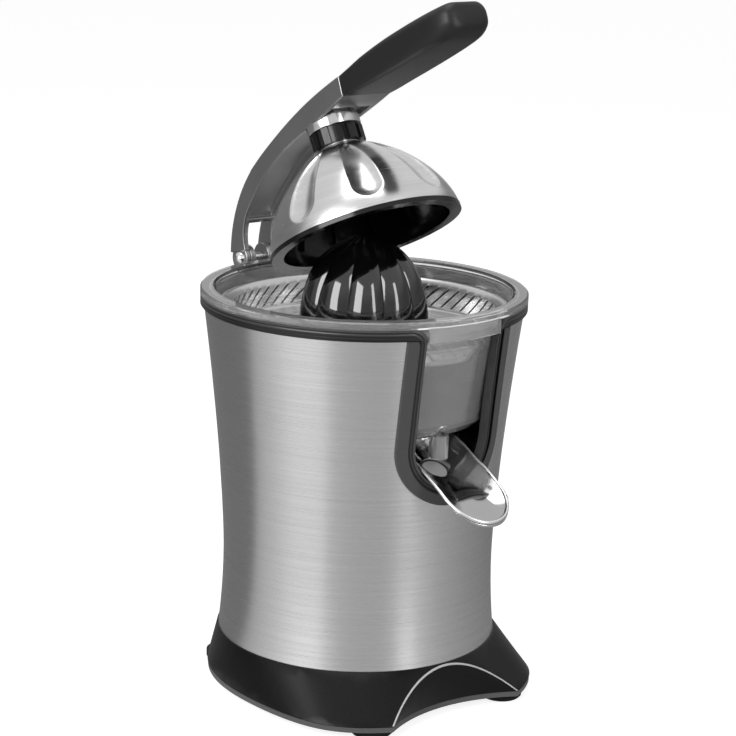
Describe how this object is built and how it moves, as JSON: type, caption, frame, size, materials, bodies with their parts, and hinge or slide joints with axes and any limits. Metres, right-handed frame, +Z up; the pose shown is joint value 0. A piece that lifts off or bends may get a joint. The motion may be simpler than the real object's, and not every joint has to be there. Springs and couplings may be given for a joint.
{
  "type": "lever citrus juice press",
  "caption": "Electric citrus press: waisted steel body with a clear juice bowl, ribbed reamer, lever-mounted pressing dome and a tilting pour spout over a recessed foot.",
  "frame": {"origin": "on the floor, at the centre of the footprint of the whole press with its lever raised as stored", "axes": "+Z up; the spout and the glass recess face -Y and the lever is hinged at +Y"},
  "size_m": [0.185, 0.237, 0.3965],
  "materials": {
    "black_satin": "satin",
    "dark_grey": "satin",
    "rubber_black": "matt",
    "screw_steel": "plain",
    "body_steel": "brushed round the body",
    "trim_grey": "satin",
    "black_matt": "matt",
    "arm_alloy": "satin",
    "smoke_clear": "clear",
    "strainer_steel": "plain",
    "gloss_black": "gloss",
    "nylon": "natural",
    "plate_steel": "zinc plated",
    "grey_plastic": "moulded",
    "bronze": "sintered",
    "core_iron": "laminated",
    "chromed": "bright",
    "pad_grey": "matt",
    "polished_pin": "bright",
    "grip_black": "soft touch",
    "collar_black": "gloss",
    "dome_steel": "polished",
    "liner_black": "gloss"
  },
  "bodies": {
    "base": {"base_plinth": "black_satin", "bottom_cover": "dark_grey", "rubber_feet": "rubber_black", "base_screws": "screw_steel", "cord_inlet": "rubber_black", "outer_shell": "body_steel", "trim_frame": "trim_grey", "inner_housing": "black_matt", "hinge_bracket": "arm_alloy", "bracket_screws": "screw_steel", "juice_bowl": "smoke_clear", "strainer": "strainer_steel", "gearbox_plate": "plate_steel", "gear_cover": "grey_plastic", "gearbox_screws": "screw_steel", "spindle_bushes": "bronze", "motor_can": "plate_steel", "motor_bearings": "bronze", "motor_stator": "core_iron", "shaft_seal": "rubber_black", "micro_switch": "gloss_black", "spout_pins": "screw_steel"},
    "lever": {"lever_arm": "arm_alloy", "hinge_pin": "polished_pin", "grip": "grip_black", "press_dome": "dome_steel", "dome_liner": "liner_black", "dome_bolt": "screw_steel"},
    "collar": {"lock_collar": "collar_black"},
    "spout_flap": {"spout": "chromed", "stopper_pad": "pad_grey"},
    "press_carriage": {"press_sleeve": "nylon", "return_spring": "screw_steel", "switch_plunger": "nylon"},
    "cone_drive": {"drive_spindle": "screw_steel", "reamer_cone": "gloss_black"},
    "gear": {"output_gear": "nylon"},
    "rotor": {"motor_rotor": "core_iron", "pinion": "screw_steel", "cooling_fan": "grey_plastic"}
  },
  "joints": [
    {"name": "lever_hinge", "type": "hinge", "parent": "base", "child": "lever", "pos_m": [0, 0.10866, 0.2292], "axis": [-1, 0, 0], "range_deg": [-21, 35]},
    {"name": "collar_turn", "type": "hinge", "parent": "lever", "child": "collar", "pos_m": [0, 0.02936, 0.3105], "axis": [0, 0.5, 0.866], "range_deg": [0, 30]},
    {"name": "spout_tilt", "type": "hinge", "parent": "base", "child": "spout_flap", "pos_m": [0, -0.05044, 0.1498], "axis": [-1, 0, 0], "range_deg": [0, 25]},
    {"name": "press_slide", "type": "slide", "parent": "base", "child": "press_carriage", "axis": [0, 0, -1], "range_m": [0, 0.0025], "stiffness_N_per_m": 2000, "springref_m": -0.002, "deforming": ["return_spring"]},
    {"name": "cone_spin", "type": "hinge", "parent": "press_carriage", "child": "cone_drive", "pos_m": [0, 0.00096, 0.2], "axis": [0, 0, 1], "continuous": true},
    {"name": "gear_spin", "type": "hinge", "parent": "base", "child": "gear", "pos_m": [0, 0.00096, 0.115], "axis": [0, 0, 1], "continuous": true},
    {"name": "rotor_spin", "type": "hinge", "parent": "base", "child": "rotor", "pos_m": [0, 0.04596, 0.08], "axis": [0, 0, 1], "continuous": true}
  ],
  "couplings": [
    {"joint": "gear_spin", "follows": "cone_spin", "ratio": 1},
    {"joint": "rotor_spin", "follows": "cone_spin", "ratio": -4}
  ]
}
